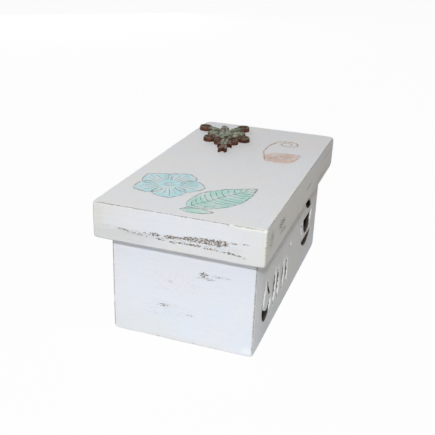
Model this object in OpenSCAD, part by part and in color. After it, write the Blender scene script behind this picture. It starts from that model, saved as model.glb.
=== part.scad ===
// Tea bag organizer box: a painted board box with three pockets, a pierced right side
// and a deep lift-off lid that carries a cast ornament. Millimetres, +Z up.
// The origin is the centre of the base. The front end faces -Y and the pierced side +X.

/* [Box] */
// Outside width of the box, left to right
box_w = 96; // [88:1:130]
// Outside length of the box, front to back
box_l = 182; // [166:1:240]
// Height of the box walls, which the lid's top board rests on
box_h = 87.5; // [78:0.5:120]
// Thickness of the left and right side boards
side_t = 3; // [2.5:0.5:6]
// Thickness of the front and back end boards
end_t = 6; // [3:0.5:12]
// Thickness of the base board
base_t = 3; // [2.5:0.5:8]
// Sanding radius on the upright outer corners of box and lid
corner_r = 1.5; // [0.5:0.25:2.25]

/* [Pockets] */
// Thickness of each divider
divider_t = 3; // [2:0.5:6]
// Height of the dividers above the base board
divider_h = 70; // [40:1:74]
// Clear length of the front pocket and of the rear pocket
end_pocket_l = 54; // [40:1:60]

/* [Lid] */
// Thickness of the lid's top board
lid_top_t = 6; // [3:0.5:12]
// Depth of the rails below the top board
lid_rail_h = 18; // [10:1:26]
// Thickness of the left and right rails
lid_side_rail_t = 6; // [4:0.5:12]
// Thickness of the front and rear rails
lid_end_rail_t = 9; // [4:0.5:16]
// Play between each side board and the rail beside it
lid_side_gap = 1; // [0.5:0.25:3]
// Play between each end board and the rail beside it
lid_end_gap = 2; // [0.5:0.25:4]

/* [Leaf cut-outs] */
// Distance from the front edge of the side board to the middle of the big leaf's round foot
spray_from_front = 29.5; // [27:0.5:33]
// Height of the feet of the leaves above the floor
spray_z = 12; // [8:1:16]
// Length of the big leaf
big_leaf_l = 32; // [28:1:38]
// Width of the big leaf across its round foot
big_leaf_w = 22; // [19:0.5:23]
// Lean of the big leaf from upright, towards the front
big_leaf_lean = 6; // [0:1:10]
// Radius of the big leaf's tip
leaf_tip_r = 3; // [2.5:0.25:4]
// Width of the slot that draws the big leaf round its blade
leaf_slot_w = 5; // [3.5:0.25:5.5]
// Distance by which the blade stands higher in its slot than the middle
blade_up = 2.5; // [0:0.5:3]
// Width of the strip that holds the blade at its tip
tip_strip_w = 2; // [1.4:0.1:3]
// Width of the strip that holds the blade at its rear side
side_strip_w = 4; // [3:0.5:6]
// Length of the tallest small leaf
leaf_l = 30; // [20:1:32]
// Width of each small leaf
leaf_w = 7.5; // [5:0.5:8]
// Distance from the big leaf's middle to the first small leaf
first_leaf_at = 17; // [16.5:0.5:18]
// Distance from one small leaf to the next
leaf_pitch = 12; // [11.5:0.5:13]
// Amount by which each small leaf is shorter than the one before it
leaf_step = 2; // [0:0.5:3]
// Lean of each small leaf, one to the back and the next to the front
leaf_lean = 4; // [0:1:5]
// Radius of the bud above the last small leaf
bud_r = 2.2; // [1:0.2:3]

/* [Cup cut-outs] */
// Distance from the rear edge of the side board to the middle of the cup
cup_from_rear = 36; // [31:1:38]
// Height of the cup's rim above the floor
cup_rim_z = 42; // [38:1:45]
// Radius of the round cup
cup_r = 15; // [11:0.5:15.5]
// Outer radius of the cup's handle
handle_r = 6; // [4.5:0.5:6.5]
// Width of the slot that draws the handle
handle_slot_w = 3; // [1.6:0.2:3.4]
// Width of the saucer
saucer_w = 36; // [24:1:40]
// Depth of the saucer
saucer_h = 8; // [3:0.5:10]
// Width of the strip of board left between the cup and what is round it
bridge_w = 2.5; // [2:0.5:4]
// Length of the leaf above the cup
cup_leaf_l = 26; // [16:1:28]
// Width of the leaf above the cup
cup_leaf_w = 8; // [4:0.5:9]
// Slope of the leaf above the cup, down to the rear
cup_leaf_slope = 20; // [10:1:24]
// Height of the middle of that leaf above the cup's rim
cup_leaf_up = 9; // [8.5:0.5:11]

/* [Ornament] */
// Distance from the lid's left edge to the rear end of the ornament's stem
ornament_from_left = 18; // [18:1:40]
// Distance from the lid's rear edge to the rear end of the ornament's stem
ornament_from_rear = 12; // [8:1:40]
// Turn of the stem away from the lid's length, its front end to the right
ornament_turn = 18; // [0:1:30]
// Length of the ornament's stem
stem_l = 72; // [50:1:90]
// Distance by which the stem bows to the right at its middle
stem_bow = 3.5; // [0:0.5:6]
// Distance from the stem to the centre of each rear scroll
rear_scroll_out = 15.2; // [12:0.2:18]
// Radius of the rear scrolls
rear_scroll_r = 5.6; // [4:0.2:6.5]
// Distance from the stem to the centre of each middle scroll
mid_scroll_out = 13.5; // [11:0.5:18]
// Radius of the middle scrolls
mid_scroll_r = 5; // [3.6:0.2:6]
// Distance from the stem to the centre of each front scroll
front_scroll_out = 6; // [5:0.5:9]
// Radius of the front scrolls
front_scroll_r = 3.6; // [2.8:0.2:5]
// Thickness of the ornament's flat ground
ground_t = 2.6; // [1.5:0.1:4]
// Height of the leaves and scrolls above the ground
relief_h = 1.9; // [0.8:0.1:2.4]

/* [Hidden] */

paint = [0.87, 0.89, 0.91];
verdigris = [0.43, 0.49, 0.42];

// Room inside the box
inner_w = box_w - 2*side_t;
inner_l = box_l - 2*end_t;
divider_y = inner_l/2 - end_pocket_l - divider_t/2;

// The lid closes round the box with its play, and its top board lies on the walls
hollow_w = box_w + 2*lid_side_gap;
hollow_l = box_l + 2*lid_end_gap;
lid_w = hollow_w + 2*lid_side_rail_t;
lid_l = hollow_l + 2*lid_end_rail_t;
rail_z = box_h - lid_rail_h;
lid_top_z = box_h + lid_top_t;

// Cuts pass this far beyond the faces that they open
past = 1;

// The blade inside the big leaf ends lower than its slot's width asks for, in a fine tip
tip_inset = 1.4;
least_tip_r = 0.5;

// Place of the bud along the row of small leaves, in steps of the row
bud_step = 3.6;

// ---------------------------------------------------------------- outlines

module rounded_plan(w, l, r) {
    square([w - 2*r, l], center = true);
    square([w, l - 2*r], center = true);
    for (sx = [-1, 1], sy = [-1, 1])
        translate([sx*(w/2 - r), sy*(l/2 - r)]) circle(r, $fn = 48);
}

// Pointed leaf with its foot at the origin and its tip at [0, length]
module leaf_outline(length, width) {
    sagitta = width/2;
    arc_r = (length*length/4 + sagitta*sagitta)/(2*sagitta);
    translate([0, length/2])
        intersection_for(s = [-1, 1])
            translate([s*(arc_r - sagitta), 0]) circle(arc_r, $fn = 96);
}

// Part of a ring on one side of the line through its centre along Y
module half_ring(r_mid, width, side) {
    intersection() {
        difference() {
            circle(r_mid + width/2, $fn = 48);
            circle(r_mid - width/2, $fn = 48);
        }
        translate([side > 0 ? 0 : -2*r_mid - width, -r_mid - width])
            square([2*r_mid + width, 2*(r_mid + width)]);
    }
}

// ------------------------------------------------------------------- boards

// A board of the box, from its low corner, with the box's sanded corners
module box_board(corner, size) {
    color(paint) intersection() {
        translate(corner) cube(size);
        translate([0, 0, -past]) linear_extrude(box_h + 2*past)
            rounded_plan(box_w, box_l, corner_r);
    }
}

module lid_board(corner, size) {
    color(paint) intersection() {
        translate(corner) cube(size);
        translate([0, 0, rail_z - past]) linear_extrude(lid_rail_h + lid_top_t + 2*past)
            rounded_plan(lid_w, lid_l, corner_r);
    }
}

// The side boards lap over the ends of the end boards
module front_end_board() {
    box_board([-inner_w/2, -box_l/2, 0], [inner_w, end_t, box_h]);
}

module back_end_board() {
    box_board([-inner_w/2, box_l/2 - end_t, 0], [inner_w, end_t, box_h]);
}

module left_side_board() {
    box_board([-box_w/2, -box_l/2, 0], [side_t, box_l, box_h]);
}

module right_side_board() {
    difference() {
        box_board([box_w/2 - side_t, -box_l/2, 0], [side_t, box_l, box_h]);
        side_cut() leaf_spray();
        side_cut() cup_and_leaf();
    }
}

// The base is let in between the four walls, flush with their lower edges
module base_board() {
    box_board([-inner_w/2, -inner_l/2, 0], [inner_w, inner_l, base_t]);
}

module divider(y) {
    color(paint) translate([-inner_w/2, y - divider_t/2, base_t])
        cube([inner_w, divider_t, divider_h]);
}

// ------------------------------------------------- cut-outs of the right side

// Runs an outline drawn in [length along the box, height] through the right side board
module side_cut() {
    translate([box_w/2 - side_t - past, 0, 0]) rotate([90, 0, 90])
        linear_extrude(side_t + 2*past) children();
}

// Leaf with a round foot on the origin and a narrow tip, drawn in from its outline by an inset
module round_leaf(inset) {
    foot_r = big_leaf_w/2 - inset;
    tip_r = max(least_tip_r, leaf_tip_r - inset);
    apart = big_leaf_l - big_leaf_w/2 - leaf_tip_r - tip_inset*inset;
    slant = asin((foot_r - tip_r)/apart);
    translate([0, big_leaf_w/2]) {
        circle(foot_r, $fn = 96);
        translate([0, apart]) circle(tip_r, $fn = 32);
        polygon([
            [foot_r*cos(slant), foot_r*sin(slant)],
            [tip_r*cos(slant), apart + tip_r*sin(slant)],
            [-tip_r*cos(slant), apart + tip_r*sin(slant)],
            [-foot_r*cos(slant), foot_r*sin(slant)]
        ]);
    }
}

// A big leaf drawn by a slot round its blade, then a row of slim leaves and a bud
module leaf_spray() {
    foot_y = -box_l/2 + spray_from_front;
    translate([foot_y, spray_z]) rotate(big_leaf_lean)
        difference() {
            round_leaf(0);
            translate([0, blade_up]) round_leaf(leaf_slot_w);
            translate([-tip_strip_w/2, big_leaf_w/2]) square([tip_strip_w, big_leaf_l]);
            translate([0, big_leaf_w/2]) square([big_leaf_w, side_strip_w]);
        }
    for (i = [0:3])
        translate([foot_y + first_leaf_at + i*leaf_pitch, spray_z])
            rotate(i % 2 == 0 ? -leaf_lean : leaf_lean)
                leaf_outline(leaf_l - i*leaf_step, leaf_w);
    translate([foot_y + first_leaf_at + bud_step*leaf_pitch, spray_z + leaf_l - bud_r])
        circle(bud_r, $fn = 32);
}

// A round cup with its handle towards the front, a saucer, and a leaf above it
module cup_and_leaf() {
    translate([box_l/2 - cup_from_rear, cup_rim_z]) {
        lower_half(cup_r) circle(cup_r, $fn = 96);
        translate([-cup_r - bridge_w, -handle_r])
            half_ring(handle_r - handle_slot_w/2, handle_slot_w, -1);
        saucer_r = (saucer_w*saucer_w/4 + saucer_h*saucer_h)/(2*saucer_h);
        translate([0, -cup_r - bridge_w])
            lower_half(2*saucer_r) translate([0, saucer_r - saucer_h])
                circle(saucer_r, $fn = 144);
        translate([0, cup_leaf_up]) rotate(-90 - cup_leaf_slope)
            translate([0, -cup_leaf_l/2]) leaf_outline(cup_leaf_l, cup_leaf_w);
    }
}

// The part of its children below the line through the origin
module lower_half(reach) {
    intersection() {
        children();
        translate([-reach, -reach]) square([2*reach, reach]);
    }
}

// ---------------------------------------------------------------------- lid

module lid_top_board() {
    lid_board([-lid_w/2, -lid_l/2, box_h], [lid_w, lid_l, lid_top_t]);
}

module lid_end_rail(y) {
    lid_board([-lid_w/2, y, rail_z], [lid_w, lid_end_rail_t, lid_rail_h]);
}

// The side rails stand between the end rails
module lid_side_rail(x) {
    lid_board([x, -hollow_l/2, rail_z], [lid_side_rail_t, hollow_l, lid_rail_h]);
}

// ----------------------------------------------------------------- ornament

// The drawing of the ornament: X across the stem, Y along it from rear to front
function bow(v) = stem_bow*sin(180*v/stem_l);

// Each leaf: [foot across, foot along, tip across, tip along, width]
stem_leaves = [
    [0, 0.22*stem_l, 0, 0.70*stem_l, 13],
    [0, 0.53*stem_l, 0, 0.92*stem_l, 7],
    [0, 0.33*stem_l, 0, 0.07*stem_l, 7]
];
// Leaves that come in pairs, one to each side of the stem
paired_leaves = [
    [1.3, 0.38*stem_l, rear_scroll_out, 0.14*stem_l, 9],
    [1.7, 0.53*stem_l, 0.82*rear_scroll_out, 0.32*stem_l, 10],
    [1.5, 0.49*stem_l, mid_scroll_out, 0.56*stem_l, 9],
    [1, 0.69*stem_l, 0.92*front_scroll_out, 0.83*stem_l, 3.6],
    [0.6, 0.82*stem_l, 0.45*front_scroll_out, stem_l, 3.6]
];
// Each pair of scrolls: [distance from the stem, place along it, radius]
scrolls = [
    [rear_scroll_out, 0.14*stem_l, rear_scroll_r],
    [mid_scroll_out, 0.56*stem_l, mid_scroll_r],
    [front_scroll_out, 0.68*stem_l, front_scroll_r]
];

function mirrored(leaf, s) = [s*leaf[0], leaf[1], s*leaf[2], leaf[3], leaf[4]];
all_leaves = concat(stem_leaves,
    [for (leaf = paired_leaves, s = [-1, 1]) mirrored(leaf, s)]);

// Stands its children at a leaf's foot, turned so that +Y runs to the leaf's tip
module at_leaf(leaf) {
    foot = [leaf[0] + bow(leaf[1]), leaf[1]];
    tip = [leaf[2] + bow(leaf[3]), leaf[3]];
    translate([foot[0], foot[1], 0])
        rotate(atan2(tip[1] - foot[1], tip[0] - foot[0]) - 90)
            children();
}

function leaf_length(leaf) = norm([
    leaf[2] + bow(leaf[3]) - leaf[0] - bow(leaf[1]), leaf[3] - leaf[1]]);

// The broad leaves stand higher than the slim ones
function leaf_rise(leaf) = relief_h*(0.6 + 0.4*leaf[4]/stem_leaves[0][4]);

// Share of a leaf's length and width that its swelling covers
swell_length = 0.92;
swell_width = 0.78;

module at_scrolls() {
    for (scroll = scrolls, s = [-1, 1])
        translate([s*scroll[0] + bow(scroll[1]), scroll[1], 0]) {
            $scroll_r = scroll[2];
            children();
        }
}

module ornament_ground() {
    linear_extrude(ground_t) {
        for (leaf = all_leaves) at_leaf(leaf) leaf_outline(leaf_length(leaf), leaf[4]);
        at_scrolls() circle($scroll_r, $fn = 32);
    }
}

// A leaf's swelling: its outline drawn in a little, under a shallow cap of a sphere
module leaf_swell(length, width, rise) {
    cap_r = (length*length/4 + rise*rise)/(2*rise);
    intersection() {
        translate([0, (1 - swell_length)/2*length, ground_t/2])
            linear_extrude(ground_t/2 + rise + past)
                leaf_outline(swell_length*length, swell_width*width);
        translate([0, length/2, ground_t + rise - cap_r]) sphere(cap_r, $fn = 180);
    }
}

// A scroll's rolled rim and the round eye in its middle
module scroll_swell(r) {
    roll_r = 0.26*r;
    eye_r = 0.34*r;
    rim_inset = 0.2;
    sunk = 0.17;
    translate([0, 0, ground_t - sunk]) {
        scale([1, 1, relief_h/roll_r]) rotate_extrude($fn = 24)
            translate([r - roll_r - rim_inset, 0]) circle(roll_r, $fn = 16);
        scale([1, 1, min(1, relief_h/eye_r)]) sphere(eye_r, $fn = 24);
    }
}

module lid_ornament() {
    color(verdigris)
        translate([-lid_w/2 + ornament_from_left, lid_l/2 - ornament_from_rear, lid_top_z])
            rotate(ornament_turn) mirror([0, 1, 0]) {
                ornament_ground();
                for (leaf = all_leaves)
                    at_leaf(leaf) leaf_swell(leaf_length(leaf), leaf[4], leaf_rise(leaf));
                at_scrolls() scroll_swell($scroll_r);
            }
}

front_end_board();
back_end_board();
left_side_board();
right_side_board();
base_board();
divider(-divider_y);  // front_divider
divider(divider_y);  // rear_divider
lid_top_board();
lid_end_rail(-lid_l/2);  // lid_front_rail
lid_end_rail(lid_l/2 - lid_end_rail_t);  // lid_rear_rail
lid_side_rail(-lid_w/2);  // lid_left_rail
lid_side_rail(lid_w/2 - lid_side_rail_t);  // lid_right_rail
lid_ornament();
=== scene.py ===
"""The looks of a painted tea bag box.

Boards with sanded arrises, rubbed chalk paint, three drawings and a cast ornament.
"""
import math

import bmesh
import bpy
import numpy as np
from mathutils import Matrix, Vector, noise


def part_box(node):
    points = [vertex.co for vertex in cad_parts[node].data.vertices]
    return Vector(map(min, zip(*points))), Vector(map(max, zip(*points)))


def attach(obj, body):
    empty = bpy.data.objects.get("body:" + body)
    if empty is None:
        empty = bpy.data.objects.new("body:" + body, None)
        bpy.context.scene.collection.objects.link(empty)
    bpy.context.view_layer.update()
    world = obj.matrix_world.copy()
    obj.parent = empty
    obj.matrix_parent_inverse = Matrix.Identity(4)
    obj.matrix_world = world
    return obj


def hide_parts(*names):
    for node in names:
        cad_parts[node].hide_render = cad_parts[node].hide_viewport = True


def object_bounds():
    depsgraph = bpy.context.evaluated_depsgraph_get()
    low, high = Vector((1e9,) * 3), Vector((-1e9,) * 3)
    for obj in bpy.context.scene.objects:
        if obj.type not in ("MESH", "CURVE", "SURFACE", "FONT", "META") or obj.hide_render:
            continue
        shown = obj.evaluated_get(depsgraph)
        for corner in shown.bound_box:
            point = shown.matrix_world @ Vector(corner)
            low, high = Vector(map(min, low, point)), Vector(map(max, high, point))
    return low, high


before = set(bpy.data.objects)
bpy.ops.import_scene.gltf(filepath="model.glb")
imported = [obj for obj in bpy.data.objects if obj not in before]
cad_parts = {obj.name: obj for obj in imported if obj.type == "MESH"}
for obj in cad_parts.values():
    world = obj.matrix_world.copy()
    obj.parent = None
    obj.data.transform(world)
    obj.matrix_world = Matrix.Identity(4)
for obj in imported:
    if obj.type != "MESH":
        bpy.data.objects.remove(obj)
cad_lowest, cad_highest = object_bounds()

# Lengths below are in millimetres, but for CAMERA_AT, FLOOR_SIDE and those in LIGHTS, which are
# in metres
MM = 0.001
lid_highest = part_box("lid_top_board")[1]
rail_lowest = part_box("lid_front_rail")[0]
wall_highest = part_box("right_side_board")[1]
base_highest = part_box("base_board")[1]
LID_HALF_W = lid_highest.x/MM
LID_HALF_L = lid_highest.y/MM
LID_TOP = lid_highest.z/MM
RAIL_FOOT = rail_lowest.z/MM
BOX_HALF_W = wall_highest.x/MM
BOX_HALF_L = wall_highest.y/MM
BOX_TOP = wall_highest.z/MM
INNER_HALF_W = base_highest.x/MM
INNER_HALF_L = base_highest.y/MM


# ------------------------------ camera and light

# The photograph is square. Its view, solved from the edges of the box
PHOTO_PX = 435
FOCAL_PX = 683
SENSOR_MM = 36
CAMERA_AT = (0.1386, -0.4409, 0.2491)
CAMERA_TURN = 18.48
CAMERA_TILT = 66.88
CAMERA_ROLL = 2.16

# Each light's way from the box. The key's shadows under the lid are 8 mm deep on the front
# end and 18 mm on the side
KEY_WAY = Vector((0.27, -1.0, 0.7)).normalized()
FILL_WAY = Vector((-0.1, -0.95, 0.2)).normalized()
TOP_WAY = Vector((0.16, -0.42, 0.9)).normalized()
BACK_WAY = Vector((-0.8, 0.9, 0.15)).normalized()
# Each light: its name, its way, its distance (m), size (m), power (W) and colour
LIGHTS = [
    ("key_light", KEY_WAY, 2.0, 0.1, 23, (0.97, 0.985, 1.0)),
    ("fill_light", FILL_WAY, 1.6, 1.0, 1.3, (1.0, 0.99, 0.975)),
    ("top_light", TOP_WAY, 0.66, 0.5, 1.72, (1.0, 0.99, 0.985)),
    ("back_light", BACK_WAY, 1.6, 1.2, 15, (1.0, 0.99, 0.98)),
]
SKY_COLOUR = (1.0, 0.985, 0.97, 1)
SKY_STRENGTH = 0.10
FLOOR_SIDE = 6.0
FLOOR_COLOUR = (0.74, 0.735, 0.725, 1)
# Share of the floor's own glow in what the camera sees of it. The rest keeps the shadow
FLOOR_GLOW = 0.96
WHITE = (1, 1, 1, 1)


def make_camera():
    data = bpy.data.cameras.new("camera")
    data.sensor_width = SENSOR_MM
    data.lens = FOCAL_PX/PHOTO_PX*SENSOR_MM
    camera = bpy.data.objects.new("camera", data)
    bpy.context.scene.collection.objects.link(camera)
    camera.matrix_world = (
        Matrix.Translation(CAMERA_AT)
        @ Matrix.Rotation(math.radians(CAMERA_TURN), 4, "Z")
        @ Matrix.Rotation(math.radians(CAMERA_TILT), 4, "X")
        @ Matrix.Rotation(math.radians(CAMERA_ROLL), 4, "Z")
    )
    bpy.context.scene.camera = camera


def make_softbox(name, place, aim, size, power, colour):
    data = bpy.data.lights.new(name, "AREA")
    data.shape = "DISK"
    data.size = size
    data.energy = power
    data.color = colour
    lamp = bpy.data.objects.new(name, data)
    lamp.location = place
    lamp.rotation_mode = "QUATERNION"
    lamp.rotation_quaternion = (Vector(aim) - Vector(place)).to_track_quat("-Z", "Y")
    bpy.context.scene.collection.objects.link(lamp)


# ------------------------------ shader graphs

# Share of a spot's reach within which it is full
SPOT_CORE = 0.35


class Graph:
    """Builds the shader graph of a material or a world, one short call for each node."""

    def __init__(self, owner):
        owner.use_nodes = True
        self.owner = owner
        self.tree = owner.node_tree
        self.tree.nodes.clear()

    def node(self, kind, inputs, **settings):
        node = self.tree.nodes.new(kind)
        for key, value in settings.items():
            setattr(node, key, value)
        for socket, value in inputs.items():
            if isinstance(value, bpy.types.NodeSocket):
                self.tree.links.new(value, node.inputs[socket])
            else:
                node.inputs[socket].default_value = value
        return node

    def math(self, operation, a, b=0.0):
        return self.node("ShaderNodeMath", {0: a, 1: b}, operation=operation).outputs[0]

    def fold(self, operation, values):
        """Joins the values by the operation, one after another."""
        folded = values[0]
        for value in values[1:]:
            folded = self.math(operation, folded, value)
        return folded

    def vector(self, operation, a, b=(0, 0, 0)):
        node = self.node("ShaderNodeVectorMath", {0: a, 1: b}, operation=operation)
        return node.outputs["Value" if operation == "LENGTH" else "Vector"]

    def position(self):
        """The place on the object in the shared frame, in millimetres."""
        place = self.node("ShaderNodeTexCoord", {}).outputs["Object"]
        return self.vector("MULTIPLY", place, (1/MM, 1/MM, 1/MM))

    def split(self, vector):
        return self.node("ShaderNodeSeparateXYZ", {0: vector}).outputs[:3]

    def upward(self):
        """How far the surface faces up, from -1 to 1."""
        return self.split(self.node("ShaderNodeNewGeometry", {}).outputs["Normal"])[2]

    def noise(self, position, kind, start=0):
        """Noise from 0 to 1. Its kind is its size along X, Y and Z, detail, roughness and shift."""
        size, detail, rough, shift = kind
        shift += start
        moved = self.vector("ADD", position, (shift, 2*shift, 3*shift))
        scaled = self.vector("DIVIDE", moved, size)
        sockets = {"Vector": scaled, "Scale": 1.0, "Detail": detail, "Roughness": rough}
        return self.node("ShaderNodeTexNoise", sockets).outputs["Fac"]

    def step(self, value, low, high, to_low=0.0, to_high=1.0):
        """A smooth step from to_low to to_high as value goes from low to high."""
        sockets = {"Value": value, 1: low, 2: high, 3: to_low, 4: to_high}
        node = self.node("ShaderNodeMapRange", sockets, interpolation_type="SMOOTHSTEP")
        return node.outputs[0]

    def mix(self, share, a, b):
        sockets = {"Factor": share, 6: a, 7: b}
        node = self.node("ShaderNodeMix", sockets, data_type="RGBA")
        return node.outputs[2]

    def spot(self, position, centre, reach):
        """1 in the middle of an ellipsoid and 0 outside it."""
        offset = self.vector("SUBTRACT", position, centre)
        share = self.vector("LENGTH", self.vector("DIVIDE", offset, reach))
        return self.step(share, 1.0, SPOT_CORE)

    def seen_directly(self):
        """1 for what the camera sees straight, in a reflection or through something."""
        path = self.node("ShaderNodeLightPath", {}).outputs
        rays = ("Is Camera Ray", "Is Glossy Ray", "Is Transmission Ray")
        return self.fold("MAXIMUM", [path[ray] for ray in rays])

    def finish(self, colour, roughness, height, depth, bsdf=None):
        """Ends the graph in a Principled shader with its bump, depth in millimetres."""
        bump = self.node("ShaderNodeBump", {"Height": height, "Distance": depth*MM})
        sockets = {"Base Color": colour, "Roughness": roughness, "Normal": bump.outputs[0]}
        sockets.update(bsdf or {})
        shader = self.node("ShaderNodeBsdfPrincipled", sockets)
        self.node("ShaderNodeOutputMaterial", {"Surface": shader.outputs[0]})
        return self.owner


def material_graph(name):
    return Graph(bpy.data.materials.new(name))


def srgb(red, green, blue):
    """A colour given as it looks on screen, from 0 to 255, for a shader."""
    def linear(value):
        share = value/255
        return share/12.92 if share < 0.04045 else ((share + 0.055)/1.055)**2.4
    return (linear(red), linear(green), linear(blue), 1.0)


# ------------------------------ the paint

LID_PAINT = (221, 222, 224)
BOX_PAINT = (230, 234, 242)
# The shades of a paint, as factors on its red, green and blue
COOL_SHADE = (0.985, 0.993, 1.0)
WARM_SHADE = (1.0, 0.992, 0.982)
THIN_SHADE = (0.93, 0.93, 0.93)
DARK_UNDERCOAT = srgb(64, 58, 52)
WARM_UNDERCOAT = srgb(154, 126, 88)
# A painted highlight on the walls of the cut-outs
CUT_WALL_HIGHLIGHT = srgb(244, 245, 245)
# Dark browns painted on the inside as painted shade, for the unlit inside of the box
INSIDE_PAINTED_SHADE = srgb(38, 31, 22)
INSIDE_SHADE_GRAIN = srgb(56, 46, 33)
PAINT_DEPTH = 0.18
PAINT_ROUGHNESS = 0.78
BARE_ROUGHNESS = 0.9
# Shares of the depth that brush strokes, grit and bare places have
STROKE_H = 0.5
GRIT_H = 0.25
BARE_H = 0.8

# Kinds of noise: size along X, Y and Z, detail, roughness and shift
WALL_STROKES = ((14, 14, 0.8), 3, 0.6, 0)
TOP_STROKES = ((1.0, 18, 9), 3, 0.6, 5)
CLOUDS = ((30, 30, 30), 2, 0.5, 0)
GRIT = ((0.9, 0.9, 0.6), 3, 0.6, 0)
FLECKS = ((1.4, 1.4, 0.56), 2, 0.6, 11)
CHIPS = ((1.5, 1.5, 0.9), 3, 0.6, 23)
HAIRLINES = ((9, 9, 0.7), 2, 0.6, 37)
STRETCHES = ((7, 7, 7), 2, 0.5, 60)
SHADE_CREEP = ((3, 3, 3), 3, 0.6, 70)
INSIDE_STREAKS = ((0.8, 9, 9), 3, 0.6, 80)
FOOT_SHADE_JITTER = ((1.5, 1.5, 1.5), 3, 0.6, 90)

# Steps: the values between which a mark grows, and the strengths it grows from and to
CLOUD_STEP = (0.35, 0.65)
STROKE_STEP = (0.45, 0.78)
MOTTLE_STEP = (0.35, 0.6)
TINT_STEP = (0.3, 0.6, 0.6, 1.0)
FLECK_STEP = (0.33, 0.67, 0.0, 0.62)
BARE_STEP = (0.80, 0.90)
THINNED_STEP = (0.64, 0.76, 0.0, 0.22)
HAIR_STEP = (0.56, 0.68)
HAIR_IN_RUB_STEP = (0.05, 0.3, 0.03, 0.14)
CHIP_STEP = (0.78, 0.82)
WARM_IN_RUB_STEP = (0.85, 1.0)
BROWN_STEP = (0.44, 0.58)
# Wear by distance from an arris
TOP_WEAR = (0.8, 0.1, 0.0, 0.18)
CORNER_WEAR = (0.9, 0.2, 0.0, 0.20)
FOOT_WEAR = (0.9, 0.1, 0.0, 0.22)
# Sanded lines: how far the chips fray an edge, its step by distance, its step by stretches
TOP_LINE = (1.1, (1.2, 0.9), (0.28, 0.38, 0.1, 1.0))
CORNER_LINE = (1.2, (1.55, 1.25), (0.32, 0.48))
FOOT_LINE = (1.1, (1.2, 0.9), (0.40, 0.50))
TOP_LINE_STEP = (0.3, 0.55, 0.35, 0.68)
FOOT_LINE_STRENGTH = 0.4
# How strong mottling is beside the brush strokes, how much a rub adds to the flecks, and how
# much of the undercoat's colour a bare place has
MOTTLED = 0.4
RUB_WEIGHT = 0.58
BARENESS = 0.92
# How far below the top its own brush strokes begin, and how far below it they are full
TOP_BEGINS = 0.5
TOP_FULL = 0.2

# Rubbed places. On a front face: X and Z of the centre, the reach along them and how bare
# the place is. Elsewhere: centre, reach and how bare
RUB_DEPTH = 3
LID_FRONT_RUBS = [
    (-4, 78.9, 5, 1.7, 0.9),
    (1.5, 79.2, 5, 1.3, 0.8),
    (8.5, 79.9, 5, 2.1, 1.0),
    (14, 80.0, 7, 2.3, 1.0),
    (20, 80.4, 7, 2.7, 1.0),
    (26, 80.7, 6, 3.2, 1.0),
    (30, 80.9, 4, 2.4, 0.9),
    (35, 81.9, 6, 0.9, 0.8),
    (42, 82.5, 4, 0.9, 0.8),
    (-2, 75.4, 4, 1.1, 0.65),
    (4, 76.0, 7, 0.8, 0.75),
    (12, 76.3, 7, 0.9, 0.8),
    (22, 75.6, 6, 0.8, 0.75),
    (33, 75.2, 7, 1.0, 0.8),
    (39, 74.6, 3, 0.8, 0.75),
    (42.5, 73.9, 2, 1.0, 0.75),
    (-14, 78.9, 5, 1.6, 0.7),
    (-10, 76.2, 4, 0.9, 0.55),
    (-24, 77, 6, 0.8, 0.45),
    (-35, 78.4, 6, 1.0, 0.55),
    (-46, 78.8, 4, 1.2, 0.5),
    (-18, 77.6, 32, 3, 0.46),
    (20, 78, 28, 5, 0.4),
]
LID_SIDE_RUBS = [
    ((55, -66, 84), (3, 13, 5), 0.74),
    ((55, -62, 78), (3, 12, 2.6), 0.68),
    ((55, -90, 83), (3, 8, 9), 0.58),
    ((55, -40, 70), (3, 60, 1.4), 0.6),
    ((55, 12, 81), (3, 14, 2.0), 0.55),
    ((-55, -30, 80), (3, 20, 2.4), 0.73),
    ((-55, 48, 76), (3, 12, 1.5), 0.64),
    ((12, 102, 81), (22, 3, 2.2), 0.82),
    ((-26, 102, 77), (10, 3, 1.4), 0.68),
]
BOX_FRONT_RUBS = [
    (14, 52, 3.8, 2.4, 0.95),
    (24, 52.2, 12, 1.2, 0.56),
    (16, 49.4, 11, 1.3, 0.5),
    (-4, 42, 30, 14, 0.2),
    (-10, 22, 30, 9, 0.2),
    (-8, 42.8, 2.4, 1.0, 0.42),
    (-13, 24.8, 5.5, 1.6, 0.6),
    (-6, 25.4, 5, 2.4, 0.22),
    (5, 21, 6, 1.0, 0.34),
    (-20, 17.5, 5, 1.0, 0.26),
    (-18, 0.8, 5, 1.2, 0.5),
    (9, 0.8, 4, 1.0, 0.6),
]
BOX_SIDE_RUBS = [
    ((-48, 30, 44), (3, 20, 2.2), 0.68),
    ((-48, -44, 22), (3, 14, 1.8), 0.64),
    ((-48, -10, 60), (3, 10, 1.4), 0.6),
    ((-14, 91, 40), (16, 3, 1.8), 0.73),
    ((22, 91, 22), (8, 3, 1.4), 0.64),
    ((20, 91, 58), (6, 3, 1.6), 0.6),
]


def front_rubs(half_l, rubs):
    """Rubbed places on a front face, which lies half_l in front of the middle."""
    return [((x, -half_l, z), (wide, RUB_DEPTH, high), bare) for x, z, wide, high, bare in rubs]


def shaded(colour, factors):
    return srgb(*[part*factor for part, factor in zip(colour, factors)])


def near_arris(graph, place, half_w, half_l, top, foot):
    """Distances to the top arris, the upright corners and the foot arris of a box."""
    x, y, z = graph.split(place)
    in_from_side = graph.math("SUBTRACT", half_w, graph.math("ABSOLUTE", x))
    in_from_end = graph.math("SUBTRACT", half_l, graph.math("ABSOLUTE", y))
    in_from_wall = graph.math("MINIMUM", in_from_side, in_from_end)
    to_top = graph.math("MAXIMUM", in_from_wall, graph.math("SUBTRACT", top, z))
    to_corner = graph.math("MAXIMUM", in_from_side, in_from_end)
    to_foot = graph.math("MAXIMUM", in_from_wall, graph.math("SUBTRACT", z, foot))
    return to_top, to_corner, to_foot


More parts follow.
